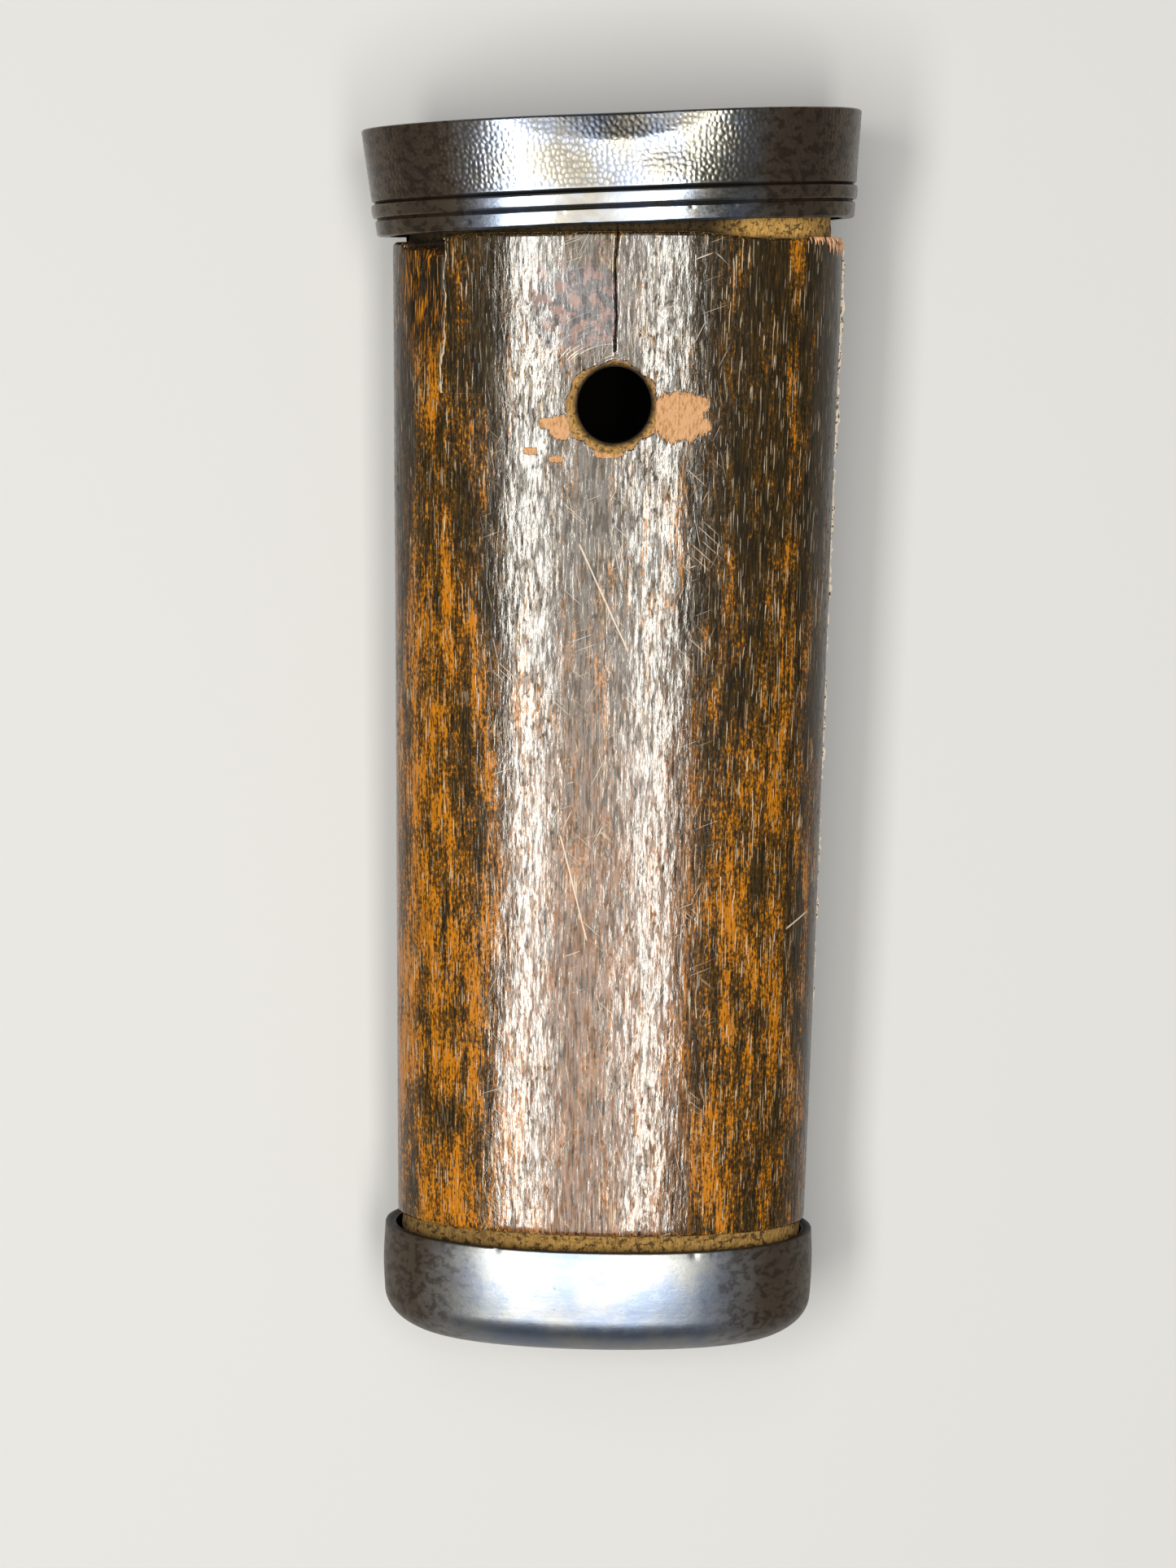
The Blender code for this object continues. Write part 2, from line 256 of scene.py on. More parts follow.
def pebbles(u, v, period, around):
    """The distances to the nearest and second nearest pebble middles, in cells of one loose middle each."""
    loose = np.random.default_rng(51).uniform(0.08, 0.92, (LATTICE, period, 2))
    gu, gv = u * period / around, v * period / around
    iu, iv = np.floor(gu).astype(int), np.floor(gv).astype(int)
    nearest = np.full(gu.shape, 9.0)
    second = np.full(gu.shape, 9.0)
    for row in (-1, 0, 1):
        for column in (-1, 0, 1):
            spot = loose[(iv + row) % LATTICE, (iu + column) % period]
            apart = np.hypot(iu + column + spot[..., 0] - gu, iv + row + spot[..., 1] - gv)
            second = np.minimum(second, np.maximum(nearest, apart))
            nearest = np.minimum(nearest, apart)
    return nearest, second


def on_floor(x, y, z):
    """Hilt millimetres to points in the frame's metres: turned by the tip about x, and moved to its place."""
    c, s = math.cos(TIP), math.sin(TIP)
    return (np.stack((x, c * y - s * z, s * y + c * z), -1) + HILT_PLACE) * MM


def on_seat(x, y, z):
    """Collar millimetres to the frame's: turned by the cock about z, lifted off the shoulder and tipped."""
    c, s = math.cos(COLLAR_COCK), math.sin(COLLAR_COCK)
    return on_floor(c * x - s * y + COLLAR_SHIFT, s * x + c * y + GRIP_LENGTH + COLLAR_LIFT, z)


def grid_faces(rows, columns, wrap_rows=False, wrap_columns=False):
    """The quads of a grid of points, as four corner numbers each, over its open or wrapped edges."""
    r = np.arange(rows if wrap_rows else rows - 1)[:, None]
    c = np.arange(columns if wrap_columns else columns - 1)[None, :]
    r_next, c_next = (r + 1) % rows, (c + 1) % columns
    corners = (r * columns + c, r * columns + c_next, r_next * columns + c_next, r_next * columns + c)
    return np.stack([np.broadcast_to(k, (r.size, c.size)) for k in corners], -1).reshape(-1, 4)


def make_piece(name, points, faces, materials, body, node, fields=None, sharp=40, second=None):
    """A closed smooth piece from points in metres and quads, with its doubles merged and normals outwards.

    The faces that second marks take the second material.
    """
    mesh = bpy.data.meshes.new(name)
    mesh.from_pydata(points.reshape(-1, 3), [], faces)
    for material in materials:
        mesh.materials.append(material)
    if second is not None:
        mesh.polygons.foreach_set("material_index", second.astype(np.int32))
    for key, values in (fields or {}).items():
        attribute = mesh.attributes.new(key, "FLOAT", "POINT")
        attribute.data.foreach_set("value", np.ascontiguousarray(values, np.float32).ravel())
    bm = bmesh.new()
    bm.from_mesh(mesh)
    bmesh.ops.remove_doubles(bm, verts=bm.verts, dist=1e-7)
    bmesh.ops.dissolve_degenerate(bm, edges=bm.edges, dist=1e-7)
    bmesh.ops.recalc_face_normals(bm, faces=bm.faces)
    bm.to_mesh(mesh)
    bm.free()
    mesh.shade_smooth()
    mesh.set_sharp_from_angle(angle=math.radians(sharp))
    piece = bpy.data.objects.new(name, mesh)
    bpy.context.scene.collection.objects.link(piece)
    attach(piece, body)
    if node:
        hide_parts(node)
    return piece


# ---------------------------------------------------------------- the wooden grip

# Rings of points round the peg hole: the hole's own ring, and where the rings have become the plain grid.
HOLE_RING = 16
PLAIN_RING = 36
FINE_STEP = 0.14
ACROSS_STEP = 0.30
ALONG_STEP = 0.60

# What the finish reads at each point of the grip: raw wood, golden raw wood, the split, the dull patch,
# painted shade, and how far in mm the point is from the crack and from the split's edge.
GRIP_FIELDS = ("bare", "gold", "split", "worn", "painted_shade", "crack", "cliff")


def graded(low, high, centre, coarse):
    """Places from low to high, close together round the centre and a coarse step apart beyond its rings."""
    reach = PLAIN_RING * FINE_STEP
    near = centre + np.linspace(-reach, reach, 2 * PLAIN_RING + 1)
    before = np.linspace(low, near[0], max(2, round((near[0] - low) / coarse)))[:-1]
    after = np.linspace(near[-1], high, max(2, round((high - near[-1]) / coarse)))[1:]
    return np.concatenate((before, near, after)), len(before) + PLAIN_RING


def grip_profile():
    """The grip's outline from foot to top, as rows of y, half width, half depth, and how raw the wood is."""
    quarter = np.linspace(0, math.pi / 2, 6)
    rows = [(-FOOT_TENON_LENGTH, FOOT_TENON[0] - 0.9, FOOT_TENON[1] - 0.9, 1.0)]
    for y in np.concatenate((np.linspace(-5.3, -1.8, 5), np.linspace(-1.6, -0.06, 13))):
        rows.append((y, *FOOT_TENON, 1.0))
    for share in (0.0, 0.3):
        rows.append((0.0, *mixed(FOOT_TENON, GRIP_FOOT, share), 1.0))
    for turn in quarter:
        inset = SHOULDER_ROUND * (1 - math.sin(turn))
        y = SHOULDER_ROUND * (1 - math.cos(turn))
        rows.append((y, GRIP_FOOT[0] - inset, GRIP_FOOT[1] - inset, 0.8 - 0.8 * math.sin(turn)))
    body, centre = graded(0.7, GRIP_LENGTH - 0.7, PEG_HOLE_Y, ALONG_STEP)
    hole_row = len(rows) + centre
    for y in body:
        rows.append((y, *mixed(GRIP_FOOT, GRIP_TOP, y / GRIP_LENGTH), 0.0))
    for turn in quarter:
        inset = SHOULDER_ROUND * (1 - math.cos(turn))
        y = GRIP_LENGTH - SHOULDER_ROUND * (1 - math.sin(turn))
        rows.append((y, GRIP_TOP[0] - inset, GRIP_TOP[1] - inset, 0.7 * (1 - math.cos(turn))))
    for share in (0.5, 0.8, 1.0):
        edge = tuple(k - SHOULDER_ROUND for k in GRIP_TOP)
        rows.append((GRIP_LENGTH, *mixed(edge, TOP_TENON, share), 1.0))
    for y in GRIP_LENGTH + np.concatenate((np.linspace(0.12, 2.4, 18), np.linspace(2.9, 6.1, 6))):
        rows.append((y, *TOP_TENON, 1.0))
    rows.append((GRIP_LENGTH + TOP_TENON_LENGTH, TOP_TENON[0] - 0.5, TOP_TENON[1] - 0.5, 1.0))
    return np.array(rows), hole_row


def channel(x, y):
    """How far the tang slot's wall stands from the glue plane: half its thickness inside its taper."""
    share = np.clip((y - (GRIP_LENGTH + TOP_TENON_LENGTH - SLOT_DEPTH)) / SLOT_DEPTH, 0, 1)
    width, depth = mixed(SLOT_END, SLOT_MOUTH, share)
    inside = soft((width / 2 - np.abs(x)) / 0.5) * soft(share * SLOT_DEPTH / 0.5)
    return SEAM_GAP + (depth / 2 - SEAM_GAP) * inside


def hole_edge(angle):
    """The radius where the chewed edge of the peg hole ends, uneven round the hole."""
    rough = wavy(angle * 3.183, 1.0, 21, 20) * 0.16
    chunk = wavy(angle * 9.5, 1.0, 22, 60) * 0.12
    lopsided = -0.28 * np.cos(angle - math.pi - 0.9)
    return 3.32 + rough + chunk + lopsided


def patch(x, y, spot):
    """How far a point is inside a patch: 0.5 on a superellipse, more inside it and less outside."""
    px, py, wide, tall = spot
    away = (np.abs((x - px) / wide) ** 2.6 + np.abs((y - PEG_HOLE_Y - py) / tall) ** 2.6) ** (1 / 2.6)
    return np.clip(0.5 + (1 - away) * 0.7, 0, 1)


# Raw patches round the peg hole, as place and half size in mm from the hole's middle.
RAW_PATCHES = (
    (4.7, -0.80, 1.75, 1.75),
    (5.9, 0.10, 0.95, 0.60),
    (6.0, -1.45, 1.05, 0.62),
    (-3.9, -1.7, 0.75, 0.85),
    (-4.7, -1.4, 0.80, 0.40),
    (-6.1, -3.45, 0.50, 0.26),
    (-4.2, -4.0, 0.55, 0.24),
    (-0.4, -3.50, 1.00, 0.34),
)


def grip_half(name, node, side, materials):
    """Half of the grip: an outer sheet over a half oval and an inner sheet with the tang slot, stitched.

    The outer sheet is a profile carried over the half oval. Round the peg hole its square rings of points
    are pulled onto circles. The inner sheet has the same x and y, and lies on the glue plane or in the slot.
    """
    rows, hole_row = grip_profile()
    turns, half_arc = even_turns(GRIP_TOP, 4001, math.pi, False)
    arc = half_arc / 2 - np.linspace(0, half_arc, 4001)
    across, hole_column = graded(-half_arc / 2, half_arc / 2, 0.0, ACROSS_STEP)
    y = np.repeat(rows[:, :1], len(across), 1)
    s = np.repeat(across[None, :], len(rows), 0)

    rings_up = np.abs(np.arange(len(rows)) - hole_row)[:, None]
    ring = np.maximum(rings_up, np.abs(np.arange(len(across)) - hole_column)[None, :])
    radius = PEG_HOLE_RADIUS[0 if side > 0 else 1]
    spacing = (PLAIN_RING * FINE_STEP - radius) / (PLAIN_RING - HOLE_RING)
    circle = radius + (ring - HOLE_RING) * spacing
    off_s, off_y = s, y - PEG_HOLE_Y
    apart = np.maximum(np.hypot(off_s, off_y), 1e-9)
    pull = np.where(ring >= HOLE_RING, 1 - soft((ring - HOLE_RING - 6) / (PLAIN_RING - HOLE_RING - 6)), 0)
    s = s + (off_s / apart * circle - off_s) * pull
    y = y + (off_y / apart * circle - off_y) * pull
    away = np.hypot(s, y - PEG_HOLE_Y)
    angle = np.arctan2(y - PEG_HOLE_Y, s) + math.pi

    wiggle = wavy(y, 1.7, 5) * 0.13 + wavy(y, 0.5, 6) * 0.04
    in_crack = soft((y - PEG_HOLE_Y - 3.0) / 1.5) * (y < GRIP_LENGTH + 0.5) * (side > 0)
    s = s + wiggle * in_crack * np.exp(-((s / 0.9) ** 2))

    turn = np.interp(s, arc[::-1], turns[::-1])
    x, z = oval((rows[:, 1:2], rows[:, 2:3] - SEAM_GAP), turn)
    z = z + SEAM_GAP
    foot = np.clip(1 - y / GRIP_LENGTH * 2, 0, 1) * soft((y + 3) / 3)
    top = np.clip(y / GRIP_LENGTH * 2 - 1, 0, 1) * (1 - soft((y - GRIP_LENGTH) / 4))
    y = y + side * z * FOOT_SLANT * foot + x * TOP_SLANT * top
    if side > 0:
        # The shoulders aren't cut straight: both stand proud in the middle of the front.
        middle = soft((x + 15.5) / 6.0) * (1 - soft((x - 4.5) / 7.0))
        y = y + 0.50 * middle * soft((y - 69.0) / 5.5) * (1 - soft((y - 76.5) / 4))
        y = y - 0.18 * (1 - (x / GRIP_FOOT[0]) ** 2) * (1 - soft((y - 0.3) / 6.0)) * soft((y + 4) / 3)

    raw = np.repeat(rows[:, 3:4], len(across), 1)
    finished = 1 - np.clip(raw * 3, 0, 1)
    seed = 11 if side > 0 else 71
    out = 0.028 * uneven(s, y, (5.0, 14.0), seed) + 0.012 * uneven(s, y, (1.6, 7.0), seed + 1)
    out = out * finished
    rough = 0.045 * uneven(s, y, (0.45, 0.5), seed + 2) + 0.035 * uneven(s, y, (0.22, 0.9), seed + 3)
    out = out + rough * (1 - finished)

    bare, gold = raw.copy(), raw.copy()
    split, worn, notch_shadow = np.zeros((3, *raw.shape))
    crack, cliff = np.ones((2, *raw.shape))
    if side > 0:
        edge = hole_edge(angle)
        share = np.clip((edge - away) / (edge - radius), 0, 1)
        chewed = uneven(angle * 7, away, (1.0, 0.35), 31, 44) * 0.09 * (share > 0)
        out = out - (0.60 * share**0.8 + chewed) * (ring >= HOLE_RING)
        bare = np.maximum(bare, soft((edge + 0.10 - away) / 0.20))
        gold = np.maximum(gold, 0.8 * soft((edge + 0.05 - away) / 0.25))
        for spot in RAW_PATCHES:
            bare = np.maximum(bare, patch(x, y, spot))
        out = out - 0.035 * soft((bare - 0.35) / 0.3) * finished
        off_crack = s - wiggle * in_crack
        out = out - 0.10 * np.clip(1 - np.abs(off_crack) / FINE_STEP, 0, 1) * in_crack
        crack = np.where(in_crack > 0.2, off_crack, 1.0)
        worn = np.exp(-(((x + 3.0) / 3.4) ** 4) - ((y - 70.0) / 3.3) ** 4)

        # A sliver is missing below the collar on the left: a cliff on its right, sloping away to the left.
        into = -12.7 + 0.22 * wavy(y, 1.6, 41) + 0.08 * wavy(y, 0.35, 42) - x
        depth = 0.42 * soft(into / 0.25) * (1 - soft((into - 1.2) / 2.2)) * soft((y - 65.5) / 6.0)
        notch = 0.85 * soft(into / 0.3) * (1 - soft((into - 2.6) / 0.8)) * soft((y - 73.85) / 0.35)
        below = y < GRIP_LENGTH + 0.3
        out = out - (depth + notch) * below
        # The notch's floor is painted near black, as painted shadow.
        notch_shadow = 0.92 * soft((notch - 0.1) / 0.3) * below
        cliff = np.where((y > 63.5) & (y < GRIP_LENGTH), into, 3.0)
        split = soft(into / 0.2) * (1 - soft((into - 2.4) / 1.2)) * soft((y - 64.5) / 5.0) * (raw < 0.5)

    nx, nz = outward(x, z, (rows[:, 1:2], rows[:, 2:3]))
    x = x + nx * out
    z = np.maximum(z + nz * out, SEAM_GAP)
    outer = np.stack((x, y, side * z), -1)
    inner = np.stack((x, y, side * np.minimum(channel(x, y), np.maximum(z - 0.4, SEAM_GAP))), -1)

    count = outer.shape[0] * outer.shape[1]
    faces = grid_faces(*ring.shape)
    open_face = (ring.ravel()[faces] <= HOLE_RING).all(1)
    faces = faces[~open_face]
    border = grid_loop(0, len(rows) - 1, 0, len(across) - 1, len(across))
    around_hole = (k + way * HOLE_RING for k in (hole_row, hole_column) for way in (-1, 1))
    loop = grid_loop(*around_hole, len(across))
    stitched = [faces, faces[:, ::-1] + count, stitch(border, border + count), stitch(loop + count, loop)]
    points = np.concatenate((outer.reshape(-1, 3), inner.reshape(-1, 3)))
    used = np.tile(ring.ravel() >= HOLE_RING, 2)
    renumber = np.cumsum(used) - 1
    faces = renumber[np.concatenate(stitched)]
    # Painted shade, laid on in the near-black inside colour: the raw wood in the gap under the collar left of
    # x = 6.5 mm, the foot's raw end in the gap above the cap (more on the left), the hole's first rings and
    # the notch.
    shaded = (y > GRIP_LENGTH - 0.3) * soft((raw - 0.5) / 0.3) * (1 - soft((x - 6.5) / 4.0)) * 0.92
    foot_gap_shade = (y < 1) * soft((raw - 0.3) / 0.3) * (0.62 - 0.22 * soft((x + 11) / 8.0))
    hole_shade = (1 - soft((ring - HOLE_RING) / 4.5)) * (ring >= HOLE_RING)
    painted_shade = np.maximum.reduce((shaded, foot_gap_shade, hole_shade, notch_shadow))
    fields = {}
    for key, values in zip(GRIP_FIELDS, (bare, gold, split, worn, painted_shade, crack, cliff)):
        fields[key] = np.concatenate((values.ravel(), np.zeros(count)))[used]
    second = np.repeat((0, 1, 0, 1), [len(part) for part in stitched])
    place = on_floor(*points[used].T)
    return make_piece(name, place, faces, materials, "grip", node, fields, second=second)


def grid_loop(low, high, left, right, columns):
    """The numbers of the points round a rectangle of a grid's rows and columns, once round."""
    across, up = np.arange(right - left), np.arange(high - low)
    there = (low * columns + left + across, (low + up) * columns + right)
    back = (high * columns + right - across, (high - up) * columns + left)
    return np.concatenate((*there, *back))


def stitch(first, second):
    """The quads between two closed loops of the same number of points."""
    return np.stack((np.roll(first, -1), first, second, np.roll(second, -1)), -1)


# ---------------------------------------------------------------- the silver collar

BAND_COLUMNS = 1220
LIP_COLUMNS = 900
PEBBLE = 0.41
PEBBLE_DEPTH = 0.025
EDGE_ROUND = 0.22
GROOVE_WIDTH = 0.10
PLATE_COLUMNS = 240
PLATE_ROWS = 14


def dent(x, height, front):
    """How far a blow has pushed in the front of the collar.

    Above a crease that sags in a parabola from the rim, the wall leans in steeply. Below the crease it is
    flattened over a wider patch, right of the middle, that fades out at the bead.
    """
    crease = COLLAR_HEIGHT - 1.85 * (1 - ((x - 0.1) / 9.4) ** 2)
    over = height - crease
    steep = 0.36 * 0.10 * np.logaddexp(0, over / 0.10)
    reach = soft(1 - np.abs(x - 0.1) / 11.0)
    flat = 0.50 * np.exp(-(((x - 4.0) / 4.8) ** 2)) * soft((height - GROOVES[1]) / 4.2)
    return (steep * reach + flat) * front


def groove(height, middle):
    """How far a groove goes in, as a negative number: a bell curve of the height."""
    return -GROOVE_DEPTH * math.exp(-(((height - middle) / GROOVE_WIDTH) ** 2))


def edge_round(start, end):
    """Points round a quarter circle on an edge, as how far each is in from the edge and from the wall."""
    turns = np.linspace(start, end, 5)
    return [(EDGE_ROUND * (1 - math.sin(t)), EDGE_ROUND * (1 - math.cos(t))) for t in turns]


def band_rows():
    """The tall band's closed outline, as rows of height, how far out of the plain taper, and 1 if inside."""
    low, top = GROOVES[1], COLLAR_HEIGHT
    flank = [(h, groove(h, low), 0) for h in np.linspace(low, low + 0.3, 9)]
    face = [(h, 0, 0) for h in np.linspace(low + 0.36, top - EDGE_ROUND - 0.02, 62)]
    rim = [(top - inset, -out, 0) for inset, out in edge_round(0.3, 1.5)]
    inside = [(h, -COLLAR_WALL, 1) for h in (top - 0.05, 5.2, low)]
    return np.array(flank + face + rim + inside)


def lip_rows():
    """The bead and the polished lip's closed outline, as rows of the same three values."""
    lip = [(inset, -out, 0) for inset, out in edge_round(1.5, 0)]
    outside = []
    for h in (*np.linspace(EDGE_ROUND + 0.05, 1.0, 13), *np.linspace(1.03, GROOVES[1], 40)):
        out = sum(groove(h, middle) for middle in GROOVES)
        share = min(max((h - GROOVES[0]) / (GROOVES[1] - GROOVES[0]), 0), 1)
        bead = max(math.sin(math.pi * share), 0)
        outside.append((h, out + 0.26 * bead**0.7 - 0.14 * bead, 0))
    inside = [(h, -COLLAR_WALL, 1) for h in (GROOVES[1], 1.2, 0.0)]
    return np.array(lip + outside + inside)


def collar_ring(name, rows, columns, material):
    """One ring of the collar: its outline carried round the oval, with pebbles over the tall band."""
    turn, around = even_turns(COLLAR_RIM, columns, 2 * math.pi, True)
    height, out = rows[:, :1], rows[:, 1:2]
    section = mixed(COLLAR_LIP, COLLAR_RIM, height / COLLAR_HEIGHT)
    x, z = oval((section[0] + out, section[1] + out), turn[None, :])
    nx, nz = outward(x, z, section)
    arc = np.arange(columns)[None, :] * around / columns + height * 0
    high = height + 0 * x
    outer = (rows[:, 2:3] == 0) + 0 * x
    tall = soft((high - GROOVES[1] - 0.20) / 0.2) * soft((COLLAR_HEIGHT - 0.08 - high) / 0.2) * outer
    aside = arc + 0.11 * uneven(arc, high, (around / 30, 2.3), 52, 30)
    above = high + 0.08 * uneven(arc, high, (around / 72, 1.3), 53, 72)
    nearest, second = pebbles(aside, above, round(around / PEBBLE), around)
    crown = np.clip((second - nearest) / 0.55, 0, 1) ** 0.75 * (1 - 0.45 * np.clip(nearest / 0.7, 0, 1) ** 2)
    rubbed = 0.75 + 0.25 * uneven(arc, high, (around / 23, 2.6), 54, 23)
    relief = -PEBBLE_DEPTH * (1 - crown) * rubbed * tall
    wave = 0.030 * uneven(arc, high, (around / 15, 4.0), 55, 15)
    wave = wave + 0.010 * uneven(arc, high, (around / 49, 1.5), 56, 49)
    dings = soft((uneven(arc, high, (around / 117, 0.5), 57, 117) - 0.60) / 0.3)
    plain = outer * soft((GROOVES[0] - 0.1 - high) / 0.2)
    relief = relief + wave * outer - 0.025 * dings * plain
    x = x + nx * relief
    z = z + nz * relief
    z = z - dent(x, high, soft(z / 5.0))
    ragged = 0.03 * wavy(arc, around / 31, 58, 31) * (high < 0.4)
    place = on_seat(x, high + ragged, z)
    faces = grid_faces(*x.shape, wrap_rows=True, wrap_columns=True)
    dark = 0.6 * np.exp(-(((high - GROOVES[0]) / 0.10) ** 2)) + np.exp(-(((high - GROOVES[1]) / 0.12) ** 2))
    fields = {"oxide_and_shade": np.clip(dark * 1.1 + (1 - crown) * tall * 0.55, 0, 1) * outer + (1 - outer)}
    return make_piece(name, place, faces, [material], "collar", "collar_band", fields, 75)


def slot_ring(turn):
    """The plate's slot as a rounded wedge: a superellipse of high power, wider at the back (-x)."""
    length, back, edge = PLATE_SLOT
    power = 2 / 5.5
    c, s = np.cos(turn), np.sin(turn)
    x = length / 2 * np.sign(c) * np.abs(c) ** power
    wide = back + (edge - back) * (x / length + 0.5)
    return x, wide / 2 * np.sign(s) * np.abs(s) ** power


def collar_plate(material):
    """The plate in the rim: a flat ring between its slot and the wall, which follows the dent."""
    turn, _ = even_turns(COLLAR_RIM, PLATE_COLUMNS, 2 * math.pi, True)
    slot_x, slot_z = slot_ring(turn)
    inset = COLLAR_WALL + PLATE_GAP
    edge_x, edge_z = oval((COLLAR_RIM[0] - inset - 0.1, COLLAR_RIM[1] - inset - 0.1), turn)
    edge_z = edge_z - dent(edge_x, np.full(PLATE_COLUMNS, COLLAR_HEIGHT), soft(edge_z / 5.0)) * 1.02
    shares = np.concatenate((np.linspace(0, 1, PLATE_ROWS), np.linspace(1, 0, PLATE_ROWS)))
    low, high = COLLAR_HEIGHT - PLATE_THICKNESS, COLLAR_HEIGHT
    heights = np.repeat((high, low), PLATE_ROWS)[:, None]
    x = slot_x + (edge_x - slot_x) * shares[:, None]
    z = slot_z + (edge_z - slot_z) * shares[:, None]
    dish = 0.05 * uneven(x, z, (5.0, 5.0), 61) - 0.06
    place = on_seat(x, heights + dish * (heights == high), z)
    faces = grid_faces(*x.shape, wrap_rows=True, wrap_columns=True)
    name, fields = "collar_plate_silver", {"oxide_and_shade": 0.35 + 0 * x}
    return make_piece(name, place, faces, [material], "collar", "collar_plate", fields, 30)


# ---------------------------------------------------------------- the end cap

CAP_COLUMNS = 420


def cap_side(wall):
    """One side of the cap from its lip to its crown, as rows of y and inset."""
    share = np.linspace(0, 1, 22)
    rows = [(-CAP_DROP - t * CAP_STRAIGHT, wall - CAP_BULGE * math.sin(math.pi * t)) for t in share]
    drop = CAP_HEIGHT - CAP_STRAIGHT - CAP_CROWN - wall
    for turn in np.linspace(0, math.pi / 2, 26)[1:]:
        y = -CAP_DROP - CAP_STRAIGHT - drop * math.sin(turn)
        rows.append((y, wall + CAP_CORNER * (1 - math.cos(turn))))
    return rows


def end_cap(material):
    """The cap: its side's outline carried round the oval, then drawn in to a low crown, inside and out.

    Each row is a share of the oval, which is 1 on the side, with its y and inset. The crown is a parabola.
    """
    turn, around = even_turns(CAP_LIP, CAP_COLUMNS, 2 * math.pi, True)
    outside, inside = cap_side(0.0), cap_side(CAP_WALL)
    lip = []
    for t in (0.7, 1.4, 1.8, 2.6):
        lip.append((-CAP_DROP + 0.10 * math.sin(t), 0.12 * (1 - math.cos(t)) + 0.25 * (t > 1.7)))
    side = outside[::-1] + lip + inside
    crown = np.linspace(0, 1, 12)[:-1]
    rows = [(k, *side[0]) for k in crown] + [(1, *row) for row in side]
    rows += [(k, *side[-1]) for k in crown[::-1]]
    share, y, inset = np.array(rows).T[:, :, None]
    x, z = oval((CAP_LIP[0] - inset, CAP_LIP[1] - inset), turn[None, :])
    x, y, z = x * share, y - CAP_CROWN * (1 - share**2) + 0 * x, z * share
    arc = np.arange(CAP_COLUMNS)[None, :] * around / CAP_COLUMNS + 0 * x
    outer = (np.arange(len(rows)) < len(crown) + len(outside) + 1)[:, None] + 0 * x
    skin = 0.030 * uneven(arc, y, (7.0, 4.0), 81, 12) + 0.008 * uneven(arc, y, (1.5, 1.2), 82, 54)
    near_lip = soft((y + CAP_DROP + 0.55) / 0.5)
    nicks = soft((wavy(arc, 0.7, 83, 121) - 0.62) / 0.25) * near_lip
    scale = 1 + (skin - 0.07 * nicks) * outer / np.maximum(np.hypot(x, z), 2.0)
    place = on_floor(x * scale + CAP_SHIFT, y - 0.05 * nicks * outer, z * scale)
    faces = grid_faces(*x.shape, wrap_columns=True)
    # Oxide inside and along the lip, and painted shade that darkens the cap towards its crown.
    oxide_and_shade = 1 - outer + (0.3 * near_lip + 0.6 * soft((-y - 6) / 3)) * outer
    name, fields = "end_cap_silver", {"oxide_and_shade": oxide_and_shade}
    return make_piece(name, place, faces, [material], "grip", "end_cap", fields, 60)


# ---------------------------------------------------------------- old glue and torn fibres

GLUE_REACH = 0.9
PAD_RADIUS = 3.3
PAD_RISE = 0.30
FIBRES = 64


def glue_seam(side, material):
    """The old glue in one joint of the halves: a strip, an ellipse in section, with a ragged outer edge."""
    y = np.linspace(0.3, GRIP_LENGTH - 0.2, 520)[:, None]
    half_width = mixed(GRIP_FOOT, GRIP_TOP, y / GRIP_LENGTH)[0]
    seed = 91 if side > 0 else 96
    ragged = 0.12 * wavy(y, 1.1, seed) + 0.10 * wavy(y, 0.28, seed + 1)
    proud = (0.06 if side > 0 else -0.12) + ragged
    if side > 0:
        proud = proud + 0.16 * soft((y - 52) / 12) - 0.25 * soft((18 - y) / 8)
    edge = half_width + np.clip(proud, -0.4, 0.42)
    thick = SEAM_GAP * (1.15 + 0.5 * wavy(y, 0.6, seed + 2))
    turn = np.linspace(0, 2 * math.pi, 11)[:-1]
    x = edge - GLUE_REACH + GLUE_REACH * np.cos(turn)
    z = thick * np.sin(turn) * (1 - 0.25 * np.cos(turn))
    place = on_floor(side * x, y + side * x * TOP_SLANT * (y / GRIP_LENGTH) + 0 * x, z)
    faces = list(map(tuple, grid_faces(*x.shape, wrap_columns=True)))
    faces.append(tuple(range(x.shape[1])))
    faces.append(tuple(range(x.size - 1, x.size - x.shape[1] - 1, -1)))
    name = "glue_seam_right" if side > 0 else "glue_seam_left"
    return make_piece(name, place, faces, [material], "grip", None, sharp=80)


def hole_shade_pad(material):
    """A black pad over the back end of the peg hole, put there as painted shade: a flattened, uneven sphere
    on the slot's wall.
    """
    rise = np.linspace(0, math.pi, 17)[:, None]
    turn = np.linspace(0, 2 * math.pi, 49)[None, :-1]
    wall = float(channel(np.array(0.0), np.array(PEG_HOLE_Y)))
    x = PAD_RADIUS * np.sin(rise) * np.cos(turn)
    y = PEG_HOLE_Y + PAD_RADIUS * np.sin(rise) * np.sin(turn)
    z = PAD_RISE * np.cos(rise) + 0.06 * uneven(x + 9, y, (0.9, 0.9), 99) * np.sin(rise) - wall
    place = on_floor(x, y, z)
    faces = grid_faces(*x.shape, wrap_columns=True)
    return make_piece("hole_shade_pad", place, faces, [material], "grip", None)


